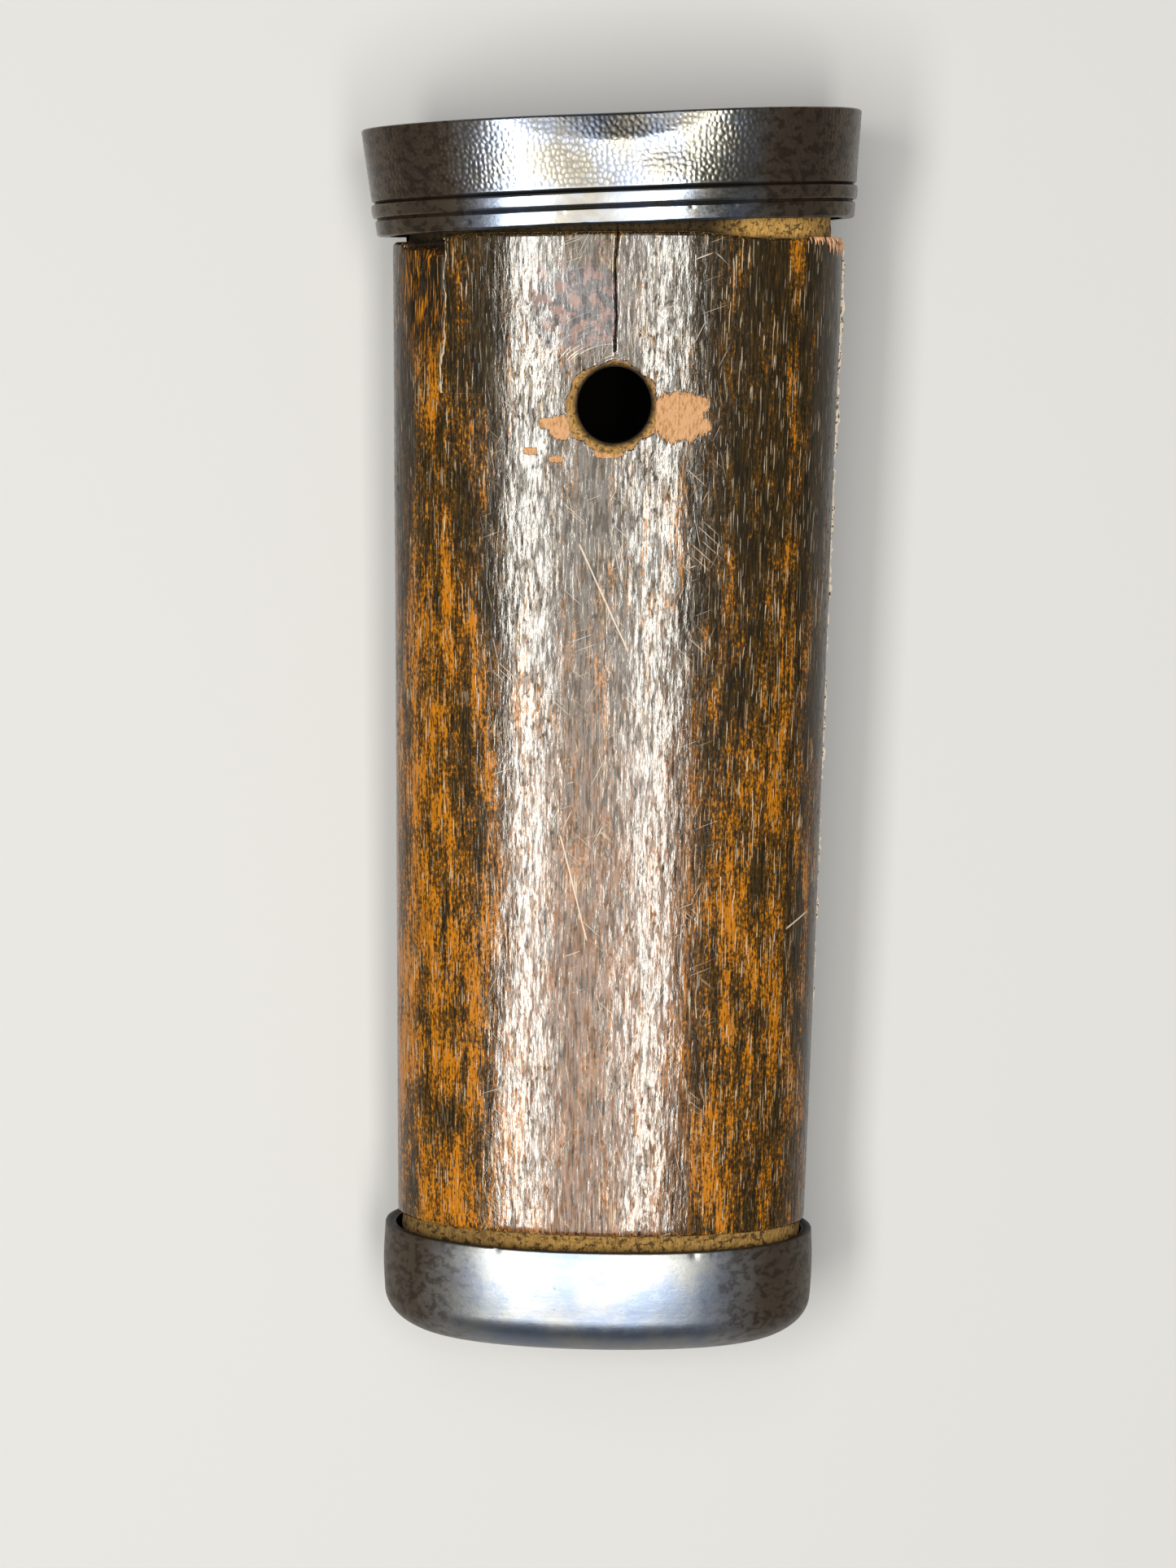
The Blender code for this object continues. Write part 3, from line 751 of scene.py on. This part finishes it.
def torn_fibres(material):
    """Fibres torn out of the shoulder on the right: tapering slivers that bend down over the grip's side."""
    rng = np.random.default_rng(7)
    each = (FIBRES, 1, 1)
    turn = rng.uniform(0.16, 0.66, each) ** 1.25
    length = rng.uniform(0.35, 1.5, each) * np.where(turn < 0.42, 1.0, 0.45)
    width = rng.uniform(0.05, 0.13, each)
    lift = rng.uniform(0.02, 0.16, each)
    drift = rng.normal(0, 0.16, each)
    t = np.linspace(0, 1, 6)[None, :, None]
    ring = np.linspace(0, 2 * math.pi, 5)[:-1] + 0.4
    x, z = oval(GRIP_TOP, turn)
    nx, nz = outward(x, z, GRIP_TOP)
    taper = width * (1 - t) ** 0.7 * (0.55 + 0.45 * np.minimum(1, t * 4))
    out = lift * np.sin(t * 2.6) - 0.12 * (1 - t) + taper * 0.5 * np.sin(ring)
    sideways = drift * t**1.5 * length + taper * np.cos(ring)
    y = GRIP_LENGTH + 0.10 + x * TOP_SLANT - t * length + 0 * out
    place = on_floor(x + nx * out + nz * sideways, y, z + nz * out - nx * sideways)
    one = grid_faces(t.size, ring.size, wrap_columns=True)
    count = t.size * ring.size
    one = np.concatenate((one, (np.arange(4)[::-1], np.arange(4) + count - 4)))
    faces = (one[None] + np.arange(FIBRES)[:, None, None] * count).reshape(-1, 4)
    return make_piece("torn_fibres", place, faces, [material], "grip", None, sharp=50)


# ---------------------------------------------------------------- finishes

def finish(tree, shader, colour, rough, height):
    """Joins a colour, a roughness and a height in millimetres to a shader."""
    bump = add(tree, "Bump", {"Height": height, "Distance": MM, "Strength": 1.0})
    for key, value in (("Base Color", colour), ("Roughness", rough), ("Normal", bump), ("Coat Normal", bump)):
        if isinstance(value, bpy.types.NodeSocket):
            tree.links.new(value, shader.inputs[key])
        else:
            shader.inputs[key].default_value = value


# Hair scratches as a turn in radians and a shift of their pattern, and long ones as place, turn and length.
HAIR_SCRATCHES = ((0.22, 3.0), (-0.45, 11.0), (0.85, 23.0), (-1.2, 31.0))
LONG_SCRATCHES = (((2.0, 7.2), 0.44, 8.9), ((-0.7, -14.5), 0.26, 8.4), ((14.2, -13.9), -0.95, 2.2))
# A scale across the thickness so large that a pattern is the same all through it.
FLAT = 1e3


def stained_hardwood(colours):
    """Close-grained hardwood, stained nearly black and rubbed to a hard gloss by hands.

    The eye sees amber wood where the stain has worn through in long gritty patches, fine fibres, light
    dashes where the pores are filled, hair scratches, and pale raw wood at the chewed and broken edges.
    """
    made, tree, shader, mm = new_material("stained_hardwood")
    x, y, z = (add(tree, "SeparateXYZ", {0: mm}, take=k) for k in range(3))
    front = eased(tree, z, 10.0, 11.0)
    bare, gold, split, worn, painted_shade, crack, cliff = (
        add(tree, "Attribute", take="Fac", attribute_name=name) for name in GRIP_FIELDS
    )
    fibres = lumps(tree, mm, (0.13, 2.4, 0.13), 4)
    bands = lumps(tree, mm, (0.75, 15, 0.75), 4)
    patches = lumps(tree, mm, (2.0, 6.5, 2.0), 5)
    grit = lumps(tree, mm, (0.17, 0.32, 0.17), 2)

    # The stain has worn through most on the two sides, and further in from them near the foot.
    left = eased(tree, (x, (y, 0.09)), -6.2, -10.0, 0, 0.32)
    right = product(tree, (x, 4.5, 8.5), (y, 16.0, -12.0, 0.0, 0.22))
    edge = eased(tree, (x, (y, -0.06)), 12.5, 15.5, 0, -0.14)
    foot = eased(tree, y, 26.0, -14.0, -0.10, 0.10)
    stripe = eased(tree, (-14.9, (x, 1.0), (bands, 2.0)), 0.8, 0.2, mirrored=True)
    stripe = product(tree, stripe, (y, -6.0, 4.0, 0, 0.34))
    level = total(tree, -3.55, (patches, 1.9), (bands, 1.6), (grit, 1.8), (fibres, 1.4))
    level = total(tree, level, *((part, 1.0) for part in (left, right, edge, foot, stripe)))
    lines = lumps(tree, mm, (0.10, 1.6, 0.10), 2, shift=4.0)
    stain = paint(tree, colours.stain, (colours.stain_worn, (fibres, 0.38, 0.64)))
    middle = eased(tree, x, 8.5, 5.0, mirrored=True)
    shadow = product(tree, (x, -13.9, -14.8), (y, 6.0, 16.0, 0, 0.75))
    rubbed = product(tree, middle, (y, 14.0, -12.0, 0, 0.7), (fibres, 0.36, 0.60))
    wood = paint(
        tree,
        stain,
        (colours.amber, (level, -0.26, 0.12)),
        (colours.orange, (level, 0.12, 0.42)),
        (colours.stain, (lines, 0.45, 0.39, 0, 0.85)),
        (colours.stain, shadow),
        (colours.worn, rubbed),
    )

    # Pores 0.1 mm wide and about 2 mm long, filled with pale wax and dust.
    pores = eased(tree, lumps(tree, mm, (0.10, 2.3, 0.10), 0, shift=7.0), 0.70, 0.75)
    pores = product(tree, pores, (patches, 0.40, 0.58, 0.25, 1.0))

    # Hair scratches in four directions, drawn nearly 0.1 mm wide so that they show.
    hairs = 0.0
    for turn, shift in HAIR_SCRATCHES:
        line = eased(tree, lumps(tree, mm, (0.085, 4.5, 9.0), 0, turn, shift), 0.765, 0.79)
        gate = eased(tree, lumps(tree, mm, (3.5, 3.5, 9.0), 1, 0, shift), 0.50, 0.56)
        hairs = add(tree, "Math", {0: product(tree, line, gate), 1: hairs}, operation="MAXIMUM")
    hairs = product(tree, hairs, eased(tree, x, 9.5, 7.0, mirrored=True))

    # Long scratches, each a line 0.08 mm wide that sways a little, and only on the front.
    sway = lumps(tree, mm, (3, 3, 9), 1)
    for at, turn, long in LONG_SCRATCHES:
        mapped = {"Vector": mm, "Location": (*at, 0), "Rotation": (0, 0, turn)}
        spot = add(tree, "Mapping", mapped, vector_type="TEXTURE")
        off, reach = (add(tree, "SeparateXYZ", {0: spot}, take=k) for k in (0, 1))
        line = eased(tree, (-0.05, (sway, 0.10), (off, 1.0)), 0.08, 0.04, mirrored=True)
        ends = product(tree, (reach, 0, 0.3), (reach, long, long - 0.3), front)
        line = product(tree, line, ends, 1.1)
        hairs = add(tree, "Math", {0: line, 1: hairs}, operation="MAXIMUM")

    # Arcs rubbed round the peg hole: a noise over the distance and the angle from its middle.
    mapped = {"Vector": mm, "Location": PEG_PLACE, "Scale": (1, 1, FLAT)}
    spot = add(tree, "Mapping", mapped, vector_type="TEXTURE")
    away = add(tree, "VectorMath", {0: spot}, take="Value", operation="LENGTH")
    wide, high = (add(tree, "SeparateXYZ", {0: spot}, take=k) for k in (0, 1))
    round_it = add(tree, "Math", {0: high, 1: wide}, operation="ARCTAN2")
    polar = add(tree, "CombineXYZ", {0: product(tree, away, 8.0), 1: product(tree, round_it, 1.6)})
    arcs = eased(tree, add(tree, "TexNoise", {"Vector": polar, "Scale": 1.0, "Detail": 1.0}), 0.60, 0.66)
    arcs = product(tree, arcs, (away, 3.9, 4.4), (away, 8.0, 6.5))
    arcs = product(tree, arcs, (round_it, 1.5, 1.8))

    # Above the hole the gloss has gone in pinkish blotches.
    blotches = product(tree, worn, (lumps(tree, mm, (0.9, 0.9, 0.9), 4), 0.49, 0.57))

    # Raw wood: tan fibres with dirt in them, and an edge ragged along the grain.
    raw = eased(tree, (-0.36, (bare, 1.0), (fibres, 0.75)), 0.44, 0.50)
    dirt = lumps(tree, mm, (0.16, 0.55, 0.16), 4)
    clots = lumps(tree, mm, (0.45, 0.35, 0.45), 4, shift=6.0)
    tan = paint(
        tree,
        colours.bare,
        (colours.bare_dirty, (dirt, 0.47, 0.62)),
        (colours.golden, gold),
        (colours.amber, (dirt, 0.45, 0.62), gold, 0.6),
        (colours.stain_worn, (clots, 0.52, 0.60), gold, 0.85),
    )
    broken = paint(tree, colours.stain, (colours.orange, (fibres, 0.50, 0.66)))

    # The crack is a hair wide. The split's edge shows as a broken pale line.
    waver = lumps(tree, mm, (0.3, 0.5, 9.0), 2, shift=2.0)
    crack_line = eased(tree, (-0.06, (crack, 1.0), (waver, 0.12)), 0.075, 0.04, mirrored=True)
    cliff_line = eased(tree, (-0.15, (cliff, 1.0), (waver, 0.3)), 0.10, 0.05, mirrored=True)
    cliff_line = product(tree, cliff_line, (fibres, 0.40, 0.48))
    colour = paint(
        tree,
        wood,
        (colours.pore, pores, 0.65),
        (colours.glue, hairs, 0.6),
        (colours.glue, arcs, 0.7),
        # Dark wood with a painted bluish reflection over the patch above the hole.
        (colours.blotch_dark, (worn, 0.30, 0.75), 0.75),
        (colours.blotch, blotches, 0.9),
        (broken, split),
        (colours.pore, cliff_line, 0.8),
        (tan, raw),
        # Painted shade: near black over the gaps, the notch and the hole's edge.
        (colours.inside, painted_shade),
        (colours.inside, crack_line),
    )

    # Gloss from fingers, broken by dull flecks half a millimetre long.
    flecks = eased(tree, lumps(tree, mm, (0.22, 0.6, 0.22), 3), 0.52, 0.64)
    flecks = product(tree, flecks, (patches, 0.34, 0.60, 0.2, 1.0))
    dashes = eased(tree, lumps(tree, mm, (0.28, 2.0, 0.28), 5, shift=12.0), 0.49, 0.56)
    sides = eased(tree, x, 9.0, 15.0, 0, 0.25, mirrored=True)
    rough = total(tree, 0.04, (patches, 0.20), (flecks, 0.34), (dashes, 0.10), (sides, 0.2), (blotches, 0.3))
    rough = total(tree, rough, (raw, 0.6), (painted_shade, 0.5), (hairs, 0.25))
    coat = total(tree, 1.0, (flecks, -0.8), (dashes, -0.85), (sides, -4.0), (raw, -1.0))
    coat = total(tree, coat, (blotches, -0.6), (painted_shade, -1.0), (hairs, -0.7))
    coat = add(tree, "Math", {0: coat, 1: 0.0}, operation="MAXIMUM")
    tree.links.new(coat, shader.inputs["Coat Weight"])
    shader.inputs["Coat Roughness"].default_value = 0.12
    shader.inputs["Specular IOR Level"].default_value = 0.25

    # Heights in mm: a skin wrinkled along the grain, fibres, sunk pores and scratches, crumbling raw wood.
    wrinkles = lumps(tree, mm, (0.30, 0.85, 0.30), 3, shift=5.0)
    swells = lumps(tree, mm, (1.1, 3.5, 1.1), 2, shift=8.0)
    crumbs = product(tree, raw, total(tree, 0.0, (dirt, 0.6), (clots, 0.8)))
    height = total(tree, 0.0, (wrinkles, 0.019), (fibres, 0.004), (bands, 0.026), (swells, 0.05))
    height = total(tree, height, (pores, -0.012), (hairs, -0.012), (crumbs, 0.12), (crack_line, -0.05))
    finish(tree, shader, colour, rough, height)
    return made


def painted_slot_shade(colours):
    """The wood inside the slot and the peg hole, painted near black as shade so that it gives back no light.
    """
    made, tree, shader, mm = new_material("painted_slot_shade")
    dirt = lumps(tree, mm, (0.5, 2.0, 0.5), 3)
    shader.inputs["Specular IOR Level"].default_value = 0.05
    colour = paint(tree, colours.inside, (colours.stain, (dirt, 0.5, 0.8, 0, 0.15)))
    finish(tree, shader, colour, 0.9, product(tree, dirt, 0.04))
    return made


def raw_fibre(colours):
    """Torn hardwood fibre: pale, dull and a little pink."""
    made, tree, shader, mm = new_material("raw_fibre")
    dirt = lumps(tree, mm, (0.3, 0.3, 0.3), 3)
    colour = paint(tree, colours.fibre, (colours.bare_dirty, (dirt, 0.52, 0.64)))
    finish(tree, shader, colour, 0.8, product(tree, dirt, 0.03))
    return made


def old_glue(colours):
    """Old rice glue squeezed out of a joint: chalky, off-white and cracked."""
    made, tree, shader, mm = new_material("old_glue")
    crumbs = lumps(tree, mm, (0.2, 0.35, 0.2), 4)
    colour = paint(tree, colours.glue, (colours.stain_worn, (crumbs, 0.47, 0.40)))
    finish(tree, shader, colour, 0.75, product(tree, crumbs, 0.08))
    return made


def silver(name, colours, clean, satin, side_start, side_end):
    """Old silver: bright where hands rub it, painted dark on its two sides as tarnished silver and painted
    shade, and black with oxide in every recess.
    """
    made, tree, shader, mm = new_material(name)
    sideways = add(tree, "Math", {0: add(tree, "SeparateXYZ", {0: mm})}, operation="ABSOLUTE")
    oxide_and_shade = add(tree, "Attribute", take="Fac", attribute_name="oxide_and_shade")
    cloud = lumps(tree, mm, (4.5, 4.5, 4.5), 4)
    mottle = lumps(tree, mm, (0.8, 0.6, 0.8), 3)
    grain = lumps(tree, mm, (0.2, 0.2, 0.2), 3)
    # Painted shade along with tarnished silver: both sides across the oval darken from side_start to side_end
    # mm out.
    side = eased(tree, (-4.0, (sideways, 1.0), (cloud, 6.0), (mottle, 2.0)), side_start, side_end)
    speck = eased(tree, lumps(tree, mm, (0.5, 0.5, 0.5), 2, shift=9.0), 0.70, 0.76)
    colour = paint(
        tree,
        clean,
        (colours.silver_blue, (cloud, 0.35, 0.65, 0, 0.8)),
        (colours.tarnish, side),
        (colours.oxide, side, (mottle, 0.46, 0.60, 0, 0.7)),
        (colours.oxide, oxide_and_shade, 0.9),
        (colours.oxide, speck, 0.4),
    )
    tree.links.new(total(tree, 1.0, (side, -0.30), (oxide_and_shade, -0.2)), shader.inputs["Metallic"])
    rough = total(tree, satin - 0.15, (grain, 0.14), (mottle, 0.16), (side, 0.06))
    # Rubbing marks run round the fitting, a few hundredths of a millimetre wide.
    rubbed = lumps(tree, mm, (2.2, 0.22, 2.2), 3)
    height = total(tree, 0.0, (rubbed, 0.004), (grain, 0.003), (mottle, 0.008))
    finish(tree, shader, colour, rough, height)
    return made


# ---------------------------------------------------------------- what a user can change

def colour_property(name, code, text):
    """A colour that starts as an sRGB hex value."""
    return bpy.props.FloatVectorProperty(
        name=name, description=text, default=linear(code), size=4, subtype="COLOR", min=0, max=1
    )


COLOURS = {
    "stain": ("#161107", "The dark stain where it is whole"),
    "stain_worn": ("#30240e", "The stain rubbed thin"),
    "amber": ("#482f09", "Wood that shows through the stain"),
    "orange": ("#925a09", "The brightest wood on the sides"),
    "worn": ("#6a472e", "The pinkish brown of the rubbed middle, near the foot"),
    "pore": ("#a99b84", "Wax and dust in pores and scratches"),
    "blotch": ("#786059", "Dull pinkish wood above the peg hole"),
    # Dark wood with a painted bluish reflection in it.
    "blotch_dark": ("#30323a", "Dull blue-black wood between the blotches"),
    "bare": ("#9f7a57", "Clean raw wood"),
    "bare_dirty": ("#845f3a", "Raw wood with dirt in it"),
    "golden": ("#97763e", "The raw wood of the two tenons"),
    "fibre": ("#b98c68", "Fibres torn out of the shoulder"),
    # The inside colour is painted shade: the near black of the slot, the hole, the gaps and the notch.
    "inside": ("#030201", "The dark wood inside the slot and the hole"),
    "glue": ("#c2b5a4", "Dried glue in the joint"),
    "silver": ("#6a6963", "Rubbed silver"),
    "cap_silver": ("#898b8b", "The brighter silver of the end cap"),
    "silver_blue": ("#6a7890", "Thinly tarnished, bluish silver"),
    # This side colour is partly tarnished silver and partly painted shade on the silver's sides.
    "tarnish": ("#463c31", "Tarnished silver on the sides"),
    "oxide": ("#211b14", "Black oxide in the hollows"),
}


class HiltColours(bpy.types.PropertyGroup):
    """The colours of the wood, the glue and the silver."""

    __annotations__ = {
        key: colour_property(key.replace("_", " ").capitalize(), code, text)
        for key, (code, text) in COLOURS.items()
    }


class HiltStage(bpy.types.PropertyGroup):
    """The lights, the floor and the camera."""

    lens: bpy.props.FloatProperty(
        name="Lens", description="The camera's focal length", default=77.0, min=10, subtype="DISTANCE_CAMERA"
    )
    light_height: bpy.props.FloatProperty(
        name="Light height", description="How high the soft panels hang", default=0.5, unit="LENGTH", min=0.1
    )
    brightness: bpy.props.FloatProperty(
        name="Brightness", description="How bright the two side panels look", default=23.0, min=0
    )
    floor: colour_property("Floor", "#9d9e9f", "The pale floor")
    sky: colour_property("Sky", "#c4d0e6", "The cool, dim light from all round")


# ---------------------------------------------------------------- operators

# The camera's place in mm and its turn in degrees, as it looks down on the front of the hilt.
CAMERA_PLACE = (2.474, 26.594, 265.27)
CAMERA_TURN = (-6.7395, 0.8775, 0.9498)
FLOOR_HALF = 1.5
FLOOR_GAP = 0.02
SKY_STRENGTH = 0.18

# Name, angles in degrees from straight up across and along the hilt, share of the brightness, and tint.
PANELS = (
    ("left_strip", (-28.5, -17), (-25, 17), 1.0, "#fffcf3"),
    ("right_strip", (6, 15), (-25, 17), 1.0, "#fffcf3"),
    ("middle_panel", (-17, 6), (-30, 38), 0.18, "#fff6ec"),
)


class HILT_OT_stage(bpy.types.Operator):
    """Sets the floor, the camera and the soft lights"""

    bl_idname = "hilt.stage"
    bl_label = "Stage"

    def execute(self, context):
        stage = context.scene.hilt_stage
        floor = bpy.data.meshes.new("floor")
        corners = [(x * FLOOR_HALF, y * FLOOR_HALF, 0) for x, y in ((-1, -1), (1, -1), (1, 1), (-1, 1))]
        floor.from_pydata(corners, [], [(0, 1, 2, 3)])
        made, _, shader, _ = new_material("pale_floor")
        shader.inputs["Base Color"].default_value = stage.floor
        shader.inputs["Roughness"].default_value = 0.9
        floor.materials.append(made)
        ground = bpy.data.objects.new("floor", floor)
        ground.location.z = -FLOOR_GAP * MM
        context.scene.collection.objects.link(ground)

        camera = bpy.data.cameras.new("camera")
        camera.lens = stage.lens
        camera.clip_start = 0.01
        eye = bpy.data.objects.new("camera", camera)
        eye.location = [k * MM for k in CAMERA_PLACE]
        eye.rotation_euler = [math.radians(k) for k in CAMERA_TURN]
        context.scene.collection.objects.link(eye)
        context.scene.camera = eye

        for name, sides, ends, share, tint in PANELS:
            left, right, near, far = (stage.light_height * math.tan(math.radians(k)) for k in (*sides, *ends))
            light = bpy.data.lights.new(name, "AREA")
            light.shape = "RECTANGLE"
            light.size = right - left
            light.size_y = far - near
            light.energy = share * stage.brightness * math.pi * light.size * light.size_y
            light.color = linear(tint, alpha=False)
            lamp = bpy.data.objects.new(name, light)
            lamp.location = ((left + right) / 2, (near + far) / 2, stage.light_height)
            context.scene.collection.objects.link(lamp)

        world = bpy.data.worlds.new("studio")
        world.use_nodes = True
        background = world.node_tree.nodes["Background"]
        background.inputs["Color"].default_value = stage.sky
        background.inputs["Strength"].default_value = SKY_STRENGTH
        context.scene.world = world
        context.scene.view_settings.view_transform = "Standard"
        return {"FINISHED"}


class HILT_OT_grip(bpy.types.Operator):
    """Builds the two wooden halves of the grip"""

    bl_idname = "hilt.grip"
    bl_label = "Wooden grip"

    def execute(self, context):
        colours = context.scene.hilt_colours
        woods = [stained_hardwood(colours), painted_slot_shade(colours)]
        grip_half("front_half_wood", "grip_front_half", 1, woods)
        grip_half("back_half_wood", "grip_back_half", -1, woods)
        return {"FINISHED"}


class HILT_OT_seam(bpy.types.Operator):
    """Builds the old glue in the joint and the torn fibres at the shoulder"""

    bl_idname = "hilt.seam"
    bl_label = "Glue and fibres"

    def execute(self, context):
        colours = context.scene.hilt_colours
        glue = old_glue(colours)
        glue_seam(1, glue)
        glue_seam(-1, glue)
        torn_fibres(raw_fibre(colours))
        # The black pad is painted shade in the peg hole.
        hole_shade_pad(painted_slot_shade(colours))
        return {"FINISHED"}


class HILT_OT_collar(bpy.types.Operator):
    """Builds the textured silver collar and its plate"""

    bl_idname = "hilt.collar"
    bl_label = "Silver collar"

    def execute(self, context):
        colours = context.scene.hilt_colours
        metal = silver("textured_silver", colours, colours.silver, 0.22, 8.0, 12.5)
        collar_ring("collar_band_silver", band_rows(), BAND_COLUMNS, metal)
        collar_ring("collar_lip_silver", lip_rows(), LIP_COLUMNS, metal)
        collar_plate(metal)
        return {"FINISHED"}


class HILT_OT_cap(bpy.types.Operator):
    """Builds the smooth silver end cap"""

    bl_idname = "hilt.cap"
    bl_label = "End cap"

    def execute(self, context):
        colours = context.scene.hilt_colours
        end_cap(silver("satin_silver", colours, colours.cap_silver, 0.40, 7.5, 13.5))
        return {"FINISHED"}


class HILT_PT_build(bpy.types.Panel):
    """Lists the steps that build the hilt"""

    bl_idname = "HILT_PT_build"
    bl_label = "Dagger Hilt"
    bl_space_type = "VIEW_3D"
    bl_region_type = "UI"
    bl_category = "Hilt"

    def draw(self, context):
        for stage in STEPS:
            self.layout.operator(stage.bl_idname)
        for group in (context.scene.hilt_colours, context.scene.hilt_stage):
            for key in group.bl_rna.properties.keys():
                if key not in ("rna_type", "name"):
                    self.layout.prop(group, key)


STEPS = (HILT_OT_stage, HILT_OT_grip, HILT_OT_seam, HILT_OT_collar, HILT_OT_cap)
CLASSES = (HiltColours, HiltStage, *STEPS, HILT_PT_build)


def register():
    """Adds the classes and their properties to Blender."""
    for made in CLASSES:
        bpy.utils.register_class(made)
    bpy.types.Scene.hilt_colours = bpy.props.PointerProperty(type=HiltColours)
    bpy.types.Scene.hilt_stage = bpy.props.PointerProperty(type=HiltStage)


def unregister():
    """Takes them out again."""
    del bpy.types.Scene.hilt_stage
    del bpy.types.Scene.hilt_colours
    for made in reversed(CLASSES):
        bpy.utils.unregister_class(made)


def main():
    """Registers the classes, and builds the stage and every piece."""
    register()
    bpy.ops.hilt.stage()
    bpy.ops.hilt.grip()
    bpy.ops.hilt.seam()
    bpy.ops.hilt.collar()
    bpy.ops.hilt.cap()
    bpy.context.view_layer.update()


if __name__ == "__main__":
    main()
